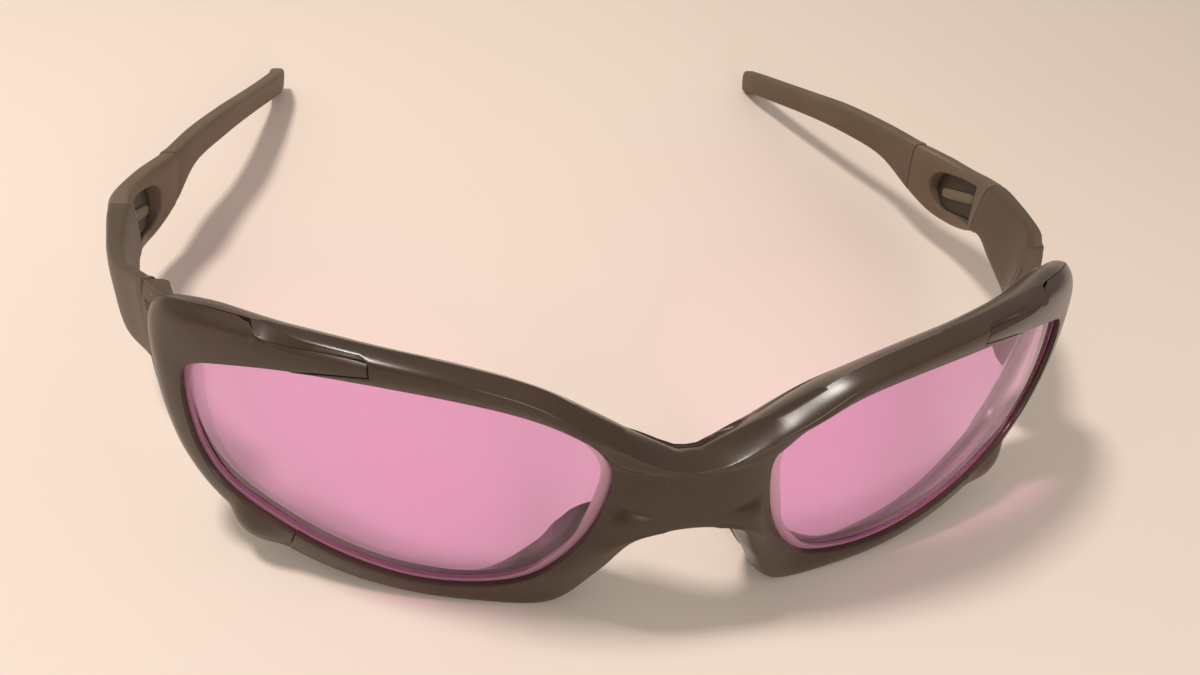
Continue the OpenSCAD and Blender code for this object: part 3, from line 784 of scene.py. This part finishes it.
def side_at(t):
    i = min(math.floor(t), LAST_ROW - 1)
    rows = [SIDE[max(i - 1, 0)], SIDE[i], SIDE[i + 1], SIDE[min(i + 2, LAST_ROW)]]
    return Side(*(blend(*column, t - i) for column in zip(*rows)))


def side_ring(t, wide=None, high=None, shift=0.0, trim=0.0):
    """A rounded ring of the temple at a row, shifted along it and trimmed."""
    r = side_at(t)
    full = r.top - r.bottom
    wide = (r.thick if wide is None else wide) - 2 * trim
    high = (full if high is None else high) - 2 * trim
    y = SIDE_Y + SIDE_LEN * r.along + shift
    spots = []
    for j in range(RING_POINTS):
        a = 2 * math.pi * (j + 0.5) / RING_POINTS
        up = power(math.sin(a), 0.5)
        x = r.outer - r.thick / 2 + wide / 2 * power(math.cos(a), 0.5)
        x += r.lean * (0.5 - high / full * up / 2)
        spots.append(Vector((x, y, (r.top + r.bottom) / 2 + high / 2 * up)))
    return spots


def rows_between(first, last, per=6):
    return [first + k / per for k in range(1, int((last - first) * per))]


def rounded_start(row):
    """Rings of a piece's rounded front end."""
    return [side_ring(row, shift=y, trim=trim) for y, trim in ((0.06, 0.25), (0.14, 0.08), (0.36, 0.0))]


def rounded_end(row):
    """Rings of a piece's rounded rear end."""
    return [side_ring(row, shift=-y, trim=trim) for y, trim in ((0.3, 0.0), (0.08, 0.08), (0.0, 0.25))]


def make_arm(side, name):
    rows = [side_ring(0, trim=0.3), side_ring(0, shift=0.12, trim=0.1), side_ring(0, shift=0.35)]
    rows += [side_ring(t) for t in rows_between(0, ELBOW_ROW) if side_at(t).along * SIDE_LEN > 0.6]
    return tube(rows + rounded_end(ELBOW_ROW), name, side)


def make_knuckle(side, name):
    """The arm's hinge knuckle: a bored barrel with a neck back to the arm."""
    r = LUG_R - 0.1
    turns = [math.radians(a) for a in range(0, -181, -10)]
    outline = [(r, 3.2), (r, 1.6)] + [(r * math.cos(a), r * math.sin(a)) for a in turns]
    outline += [(-r, 0.4), (-r * 0.8, 1.0), (-0.1, 1.9), (0.2, 3.2)]
    z0, z1 = KNUCKLE_Z
    chamfer = 0.12
    bore = (SCREW_D + 0.08) / 2
    bm = bmesh.new()
    loops = []
    for z, inset in ((z0, chamfer), (z0 + chamfer, 0.0), (z1 - chamfer, 0.0), (z1, chamfer)):
        k = 1 - inset / r
        loops.append([bm.verts.new((HINGE_X + x * k, HINGE_Y + y * k, z)) for x, y in outline])
    for z in (z1, z0):
        spots = [(bore * x / math.hypot(x, y), bore * y / math.hypot(x, y)) for x, y in outline]
        loops.append([bm.verts.new((HINGE_X + x, HINGE_Y + y, z)) for x, y in spots])
    for a, b in zip(loops, loops[1:] + loops[:1]):
        add_band(bm, a, b)
    return finish_mesh(bm, name, side)


def window_spot(x, along, up, turn=WINDOW_TURN):
    """A place in the window, from its middle; its front end is turned up."""
    y = SIDE_Y + SIDE_LEN * side_at(ELBOW_ROW).along + WINDOW_FROM + WINDOW_W / 2
    y += along * math.cos(turn) + up * math.sin(turn)
    return Vector((x, y, WINDOW_Z - along * math.sin(turn) + up * math.cos(turn)))


def window_loop(inset, x, points=24):
    """The window's outline: straight in front, round behind."""
    half = WINDOW_H / 2 - inset
    front = inset - WINDOW_W / 2
    spots = [window_spot(x, front, half), window_spot(x, front, -half)]
    for k in range(points + 1):
        a = -math.pi / 2 + math.pi * k / points
        spots.append(window_spot(x, (WINDOW_W - WINDOW_H) / 2 + half * math.cos(a), half * math.sin(a)))
    return spots


def apply_modifiers(ob):
    graph = bpy.context.evaluated_depsgraph_get()
    mesh = bpy.data.meshes.new_from_object(ob.evaluated_get(graph))
    ob.modifiers.clear()
    ob.data = mesh


def make_temple(side, name):
    """The temple's rear part, with its window cut and its edges softened."""
    rows = rounded_start(ELBOW_ROW) + [side_ring(t) for t in rows_between(ELBOW_ROW, SEAM_ROW)]
    rows += rounded_end(SEAM_ROW)
    rows += [side_ring(SEAM_ROW + t, TONGUE_T, TONGUE_H) for t in (0, 1, 1.5)]
    body = tube(rows, name, side)
    cutter = tube([window_loop(0, 58), window_loop(0, 82)], "cutter", side)
    cut = body.modifiers.new("window", "BOOLEAN")
    cut.operation = "DIFFERENCE"
    cut.solver = "EXACT"
    cut.object = cutter
    soft = body.modifiers.new("soften", "REMESH")
    soft.mode = "VOXEL"
    soft.voxel_size = 0.22 * MM
    soft.use_smooth_shade = True
    even = body.modifiers.new("even", "SMOOTH")
    even.factor = 0.5
    even.iterations = 5
    apply_modifiers(body)
    bpy.data.objects.remove(cutter)
    return body


def leaned(v):
    """Moves a place in or out, as the turned plate lies there."""
    middle = window_spot(0, 0, 0)[1]
    return Vector((v[0] - (v[1] - middle) * math.tan(PLATE_TURN), v[1], v[2]))


def make_plate(side, name):
    """Plate in the temple's window, turned to follow the temple."""
    play, rounded, edge_r = 0.12, 0.26, 0.15
    levels = ((0, rounded), (edge_r, play), (PLATE_T - edge_r, play), (PLATE_T, rounded))
    rows = []
    for dx, inset in levels:
        rows.append([leaned(v) for v in window_loop(inset, PLATE_X + dx - PLATE_T / 2)])
    return tube(rows, name, side)


def make_bar(side, name):
    """Raised plain bar that shows on both faces of the plate."""
    half_l, half_h, turn, points = 4.5, 0.95, math.radians(25), 40
    low, high = -PLATE_T / 2 - 0.5, PLATE_T / 2 + 0.3
    levels = ((low, 0.45), (low + 0.1, 0.15), (low + 0.25, 0.0))
    levels += ((high - 0.2, 0.0), (high - 0.05, 0.15), (high, 0.45))
    rows = []
    for dx, inset in levels:
        ring = []
        for k in range(points):
            a = 2 * math.pi * k / points
            along = (half_l - inset) * power(math.cos(a), 0.35)
            up = (half_h - inset) * power(math.sin(a), 0.45)
            ring.append(leaned(window_spot(PLATE_X + dx, along, up, turn)))
        rows.append(ring)
    return tube(rows, name, side)


def make_sock(side, name):
    """The rubber sock, from inside its sleeve to its rounded tip."""
    sleeve = (TONGUE_T + TONGUE_PLAY, TONGUE_H + TONGUE_PLAY)
    rows = [side_ring(SEAM_ROW + 1.52, *sleeve), side_ring(SEAM_ROW + 1, *sleeve)]
    rows += [side_ring(SEAM_ROW, *sleeve, shift=0.06)] + rounded_start(SEAM_ROW)
    rows += [side_ring(t) for t in rows_between(SEAM_ROW, LAST_ROW)]
    r = side_at(LAST_ROW)
    tip_t, tip_h, tip_length = 0.3, 0.6, 0.68
    for k in range(10):
        a = math.radians(10 * k)
        wide = mix(tip_t, r.thick, math.cos(a) ** 0.8)
        high = mix(tip_h, r.top - r.bottom, math.cos(a) ** 0.6)
        rows.append(side_ring(LAST_ROW, wide, high, shift=tip_length * math.sin(a)))
    rows = [[Vector((v[0], v[1], max(v[2], 0.0))) for v in row] for row in rows]
    return tube(rows, name, side)


# Nose pads
PAD_T = 1.2
PAD_EDGE = 0.3
PAD_GAP = 0.1
PAD_FIRST = 10.2
PAD_LAST = 11.9
PAD_STEPS = 14


def pad_base(t):
    """The frame's outer side under the pad, in three places."""
    if t >= BRIDGE_LAST:
        return side_line(rim_at(t))
    i = math.floor(t)
    lines = [side_line(RIM[(i + k) % COUNT]) for k in (-1, 0, 1, 2)]
    return [blend(*spots, t - i) for spots in zip(*lines)]


def make_pad(side, name):
    """A domed nose pad on the frame's side."""
    rows = []
    for k in range(PAD_STEPS + 1):
        t = mix(PAD_FIRST, PAD_LAST, k / PAD_STEPS)
        b = pad_base(t)
        along = pad_base(t + 0.1)[1] - pad_base(t - 0.1)[1]
        way = -along.cross(b[2] - b[0]).normalized()
        dome = math.sqrt(max(0.0, 1 - (2 * k / PAD_STEPS - 1) ** 2))
        swell = PAD_GAP + PAD_EDGE + (PAD_T - PAD_EDGE) * dome
        foot = [mix(b[0], b[1], mix(0.75, 0.5, dome)), b[1], mix(b[2], b[1], mix(0.6, 0.1, dome))]
        head = [mix(b[2], b[1], mix(0.65, 0.25, dome)), b[1], mix(b[0], b[1], mix(0.8, 0.65, dome))]
        rows.append([v + PAD_GAP * way for v in foot] + [v + swell * way for v in head])
    ob = tube(rows, name, side, 60)
    round_off = ob.modifiers.new("round", "SUBSURF")
    round_off.levels = 2
    round_off.render_levels = 2
    return ob


# Materials
def new_material(name):
    mat = bpy.data.materials.new(name)
    mat.use_nodes = True
    nodes = mat.node_tree.nodes
    return mat, nodes, mat.node_tree.links, nodes["Principled BSDF"]


def ramp(nodes, stops):
    node = nodes.new("ShaderNodeValToRGB")
    while len(node.color_ramp.elements) < len(stops):
        node.color_ramp.elements.new(0.5)
    for element, (spot, colour) in zip(node.color_ramp.elements, stops):
        element.position = spot
        element.color = (*colour, 1)
    return node


def noise_node(nodes, links, scale, detail=3.0, coords=None):
    if coords is None:
        coords = nodes.new("ShaderNodeTexCoord")
    node = nodes.new("ShaderNodeTexNoise")
    node.inputs["Scale"].default_value = scale
    node.inputs["Detail"].default_value = detail
    links.new(coords.outputs["Object"], node.inputs["Vector"])
    return node, coords


def dusted(nodes, links, coords, colour, specks):
    """Lays small pale specks of dust over a colour."""
    dust, _ = noise_node(nodes, links, 2300, 1, coords)
    spots = ramp(nodes, [(0.79, (0, 0, 0)), (0.81, (1, 1, 1))])
    links.new(dust.outputs["Fac"], spots.inputs["Fac"])
    both = nodes.new("ShaderNodeMix")
    both.data_type = "RGBA"
    amount = nodes.new("ShaderNodeMath")
    amount.operation = "MULTIPLY"
    amount.inputs[1].default_value = specks
    links.new(spots.outputs["Color"], amount.inputs[0])
    links.new(amount.outputs[0], both.inputs["Factor"])
    links.new(colour, both.inputs["A"])
    both.inputs["B"].default_value = (0.5, 0.45, 0.38, 1)
    return both.outputs["Result"]


def plastic(name, dark, light, rough, grain, grain_scale, specks=0.0):
    """Moulded plastic: faint mottling, grain in the gloss, a little dust."""
    mat, nodes, links, shader = new_material(name)
    broad, coords = noise_node(nodes, links, 90)
    tint = ramp(nodes, [(0.3, dark), (0.75, light)])
    links.new(broad.outputs["Fac"], tint.inputs["Fac"])
    colour = tint.outputs["Color"]
    fine, _ = noise_node(nodes, links, grain_scale, 4, coords)
    gloss = nodes.new("ShaderNodeMapRange")
    gloss.inputs["To Min"].default_value = rough[0]
    gloss.inputs["To Max"].default_value = rough[1]
    links.new(fine.outputs["Fac"], gloss.inputs["Value"])
    links.new(gloss.outputs["Result"], shader.inputs["Roughness"])
    if specks:
        colour = dusted(nodes, links, coords, colour, specks)
    links.new(colour, shader.inputs["Base Color"])
    shader.inputs["Specular IOR Level"].default_value = 0.4
    bump = nodes.new("ShaderNodeBump")
    bump.inputs["Strength"].default_value = grain
    bump.inputs["Distance"].default_value = 0.0001
    links.new(fine.outputs["Fac"], bump.inputs["Height"])
    links.new(bump.outputs["Normal"], shader.inputs["Normal"])
    return mat


def metal(name, colour, rough):
    mat, nodes, links, shader = new_material(name)
    fine, _ = noise_node(nodes, links, 2500, 2)
    tint = ramp(nodes, [(0.3, tuple(c * 0.85 for c in colour)), (0.7, colour)])
    links.new(fine.outputs["Fac"], tint.inputs["Fac"])
    links.new(tint.outputs["Color"], shader.inputs["Base Color"])
    shader.inputs["Metallic"].default_value = 1.0
    shader.inputs["Roughness"].default_value = rough
    return mat


def lens_material(name, colour, clearness, rough):
    """Rose tinted clear plastic that lets tinted light through to the floor."""
    mat, nodes, links, shader = new_material(name)
    shader.inputs["Transmission Weight"].default_value = clearness
    shader.inputs["IOR"].default_value = 1.5
    shader.inputs["Roughness"].default_value = rough
    broad, _ = noise_node(nodes, links, 30, 2)
    tint = ramp(nodes, [(0.3, colour), (0.7, tuple(min(1, c * 1.03) for c in colour))])
    links.new(broad.outputs["Fac"], tint.inputs["Fac"])
    links.new(tint.outputs["Color"], shader.inputs["Base Color"])
    clear = nodes.new("ShaderNodeBsdfTransparent")
    clear.inputs["Color"].default_value = (*LENS_SHADE, 1)
    rays = nodes.new("ShaderNodeLightPath")
    both = nodes.new("ShaderNodeMixShader")
    output = nodes["Material Output"]
    links.new(rays.outputs["Is Shadow Ray"], both.inputs["Fac"])
    links.new(shader.outputs["BSDF"], both.inputs[1])
    links.new(clear.outputs["BSDF"], both.inputs[2])
    links.new(both.outputs["Shader"], output.inputs["Surface"])
    return mat


# Colours of the lens, of its frosted edge and of the light that comes through
LENS_TINT = (0.81, 0.445, 0.765)
LENS_RING = (0.60, 0.33, 0.42)
LENS_SHADE = (0.93, 0.62, 0.84)
# Grain sizes, and the ranges of roughness
FINE = 2600
FINER = 3200
GLOSSY = (0.23, 0.29)
SMOOTH = (0.4, 0.5)
SATIN = (0.42, 0.5)
MATTE = (0.56, 0.66)
DULL = (0.6, 0.7)
FRAME_MAT = plastic("satin_frame", (0.047, 0.026, 0.015), (0.058, 0.033, 0.020), GLOSSY, 0.04, FINE, 0.4)
ARM_MAT = plastic("satin_arm", (0.088, 0.057, 0.034), (0.104, 0.069, 0.042), SATIN, 0.1, FINE, 0.3)
TEMPLE_MAT = plastic("satin_temple", (0.135, 0.092, 0.057), (0.158, 0.110, 0.070), SATIN, 0.1, FINE, 0.3)
SOCK_MAT = plastic("matte_sock", (0.125, 0.088, 0.055), (0.152, 0.108, 0.070), MATTE, 0.25, FINER, 0.3)
PAD_MAT = plastic("pad_rubber", (0.05, 0.038, 0.027), (0.06, 0.045, 0.032), DULL, 0.4, FINER)
PLATE_MAT = plastic("plate", (0.035, 0.022, 0.013), (0.042, 0.028, 0.017), SMOOTH, 0.3, FINE)
BAR_MAT = plastic("plate_bar", (0.15, 0.118, 0.065), (0.175, 0.14, 0.082), SMOOTH, 0.3, FINE)
STEEL_MAT = metal("screw_steel", (0.42, 0.38, 0.33), 0.35)
LENS_MAT = lens_material("rose_lens", LENS_TINT, 1.0, 0.02)
RING_MAT = lens_material("frosted_edge", LENS_RING, 0.45, 0.45)


def dress(ob, mats, body, node):
    """Gives a piece its materials and body, and hides the CAD node that it is drawn in place of."""
    for mat in mats:
        ob.data.materials.append(mat)
    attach(ob, body)
    if node:
        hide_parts(node)


def turned_to(spot, aim):
    """The turn of a camera or lamp at a spot, so that it faces another."""
    return (Vector(aim) - Vector(spot)).to_track_quat("-Z", "Y")


# Camera, from the photograph's own view: its place and the spot that it looks
# at, in metres, and how far it leans over
CAMERA_SPOT = (-0.037273, -0.142789, 0.118838)
CAMERA_AIM = (-0.0027306, -0.0282402, 0.012606)
CAMERA_LEAN = math.radians(8.442)
camera_data = bpy.data.cameras.new("camera")
camera = bpy.data.objects.new("camera", camera_data)
bpy.context.scene.collection.objects.link(camera)
upright = turned_to(CAMERA_SPOT, CAMERA_AIM).to_matrix().to_4x4()
camera.matrix_world = Matrix.Translation(CAMERA_SPOT) @ upright @ Matrix.Rotation(CAMERA_LEAN, 4, "Z")
camera_data.sensor_width = 36
camera_data.lens = 31.53
camera_data.clip_start = 0.005
camera_data.clip_end = 20
bpy.context.scene.camera = camera

# The pieces of one side: maker, name, materials, body, CAD node and slot
PIECES = (
    (make_lens, "lens_skin", (LENS_MAT, RING_MAT), "front", "lens", "tinted_lens"),
    (make_gate, "gate_skin", (FRAME_MAT,), "flap", "gate", "frame_plastic"),
    (make_pad, "pad_skin", (PAD_MAT,), "front", "nose_pad", "pad_rubber"),
    (make_arm, "arm_skin", (ARM_MAT,), "side", "arm", "arm_plastic"),
    (make_knuckle, "knuckle", (ARM_MAT,), "side", "arm", "arm_plastic"),
    (make_temple, "temple_skin", (TEMPLE_MAT,), "side", "temple", "arm_plastic"),
    (make_sock, "sock_skin", (SOCK_MAT,), "side", "ear_sock", "sock_rubber"),
    (make_plate, "plate", (PLATE_MAT,), "side", "temple_badge", "badge_plate"),
    (make_bar, "plate_bar", (BAR_MAT,), "side", None, "badge_plate"),
)
# CAD nodes that stay as they are, with their materials
KEPT_NODES = (
    ("gate_barrel", FRAME_MAT),
    ("gate_pin", STEEL_MAT),
    ("hinge_screw", STEEL_MAT),
    ("block_screw", STEEL_MAT),
    ("elbow_dowel", STEEL_MAT),
    ("hinge_block", ARM_MAT),
)


def add_side(label, side):
    """Makes and dresses all the pieces of one side."""
    for make, name, mats, body, node, slot in PIECES:
        body = body if body == "front" else label + "_" + body
        node = node and label + "_" + node
        dress(make(side, label + "_" + name), mats, body, node)
    for name, mat in KEPT_NODES:
        node = frame["nodes"][label + "_" + name]
        node.data.materials.clear()
        node.data.materials.append(mat)
    bevel = frame["nodes"][label + "_hinge_block"].modifiers.new("bevel", "BEVEL")
    bevel.width = 0.15 * MM
    bevel.segments = 2
    bevel.limit_method = "ANGLE"
    bevel.angle_limit = math.radians(35)


dress(make_front(), (FRAME_MAT,), "front", "front_frame")
add_side("left", 1)
add_side("right", -1)


# Floor and light, in metres
def add_floor():
    half = 3
    corners = [(-half, -half, 0), (half, -half, 0), (half, half, 0), (-half, half, 0)]
    mesh = bpy.data.meshes.new("floor")
    mesh.from_pydata(corners, [], [(0, 1, 2, 3)])
    floor = link(mesh, "floor")
    floor.location.z = -0.0001
    mat, nodes, links, shader = new_material("pale_floor")
    cloud, _ = noise_node(nodes, links, 3.0, 2)
    paper = ramp(nodes, [(0.3, (0.80, 0.665, 0.565)), (0.7, (0.86, 0.73, 0.635))])
    links.new(cloud.outputs["Fac"], paper.inputs["Fac"])
    links.new(paper.outputs["Color"], shader.inputs["Base Color"])
    shader.inputs["Roughness"].default_value = 0.9
    shader.inputs["Specular IOR Level"].default_value = 0.1
    mesh.materials.append(mat)


def add_room():
    """Light from all round, brighter overhead than at the sides."""
    world = bpy.data.worlds.new("room")
    bpy.context.scene.world = world
    world.use_nodes = True
    nodes, links = world.node_tree.nodes, world.node_tree.links
    sky = nodes["Background"]
    sky.inputs["Color"].default_value = (1.0, 0.97, 0.93, 1)
    way = nodes.new("ShaderNodeTexCoord")
    parts = nodes.new("ShaderNodeSeparateXYZ")
    lift = nodes.new("ShaderNodeMapRange")
    lift.inputs["To Min"].default_value = 0.25
    lift.inputs["To Max"].default_value = 0.56
    links.new(way.outputs["Generated"], parts.inputs[0])
    links.new(parts.outputs["Z"], lift.inputs["Value"])
    links.new(lift.outputs["Result"], sky.inputs["Strength"])


def add_lamp(name, spot, aim, size, watts, colour):
    data = bpy.data.lights.new(name, "AREA")
    data.shape = "DISK"
    data.size = size
    data.energy = watts
    data.color = colour
    ob = bpy.data.objects.new(name, data)
    bpy.context.scene.collection.objects.link(ob)
    ob.location = spot
    ob.rotation_euler = turned_to(spot, aim).to_euler()


add_floor()
add_room()
add_lamp("key", (-0.17, 0.02, 0.45), (0, -0.02, 0), 0.08, 1.35, (1.0, 0.95, 0.90))
add_lamp("low", (0.08, -0.95, 0.38), (0, -0.05, 0.01), 0.45, 3.0, (1.0, 0.97, 0.91))

bpy.context.scene.view_settings.view_transform = "Standard"
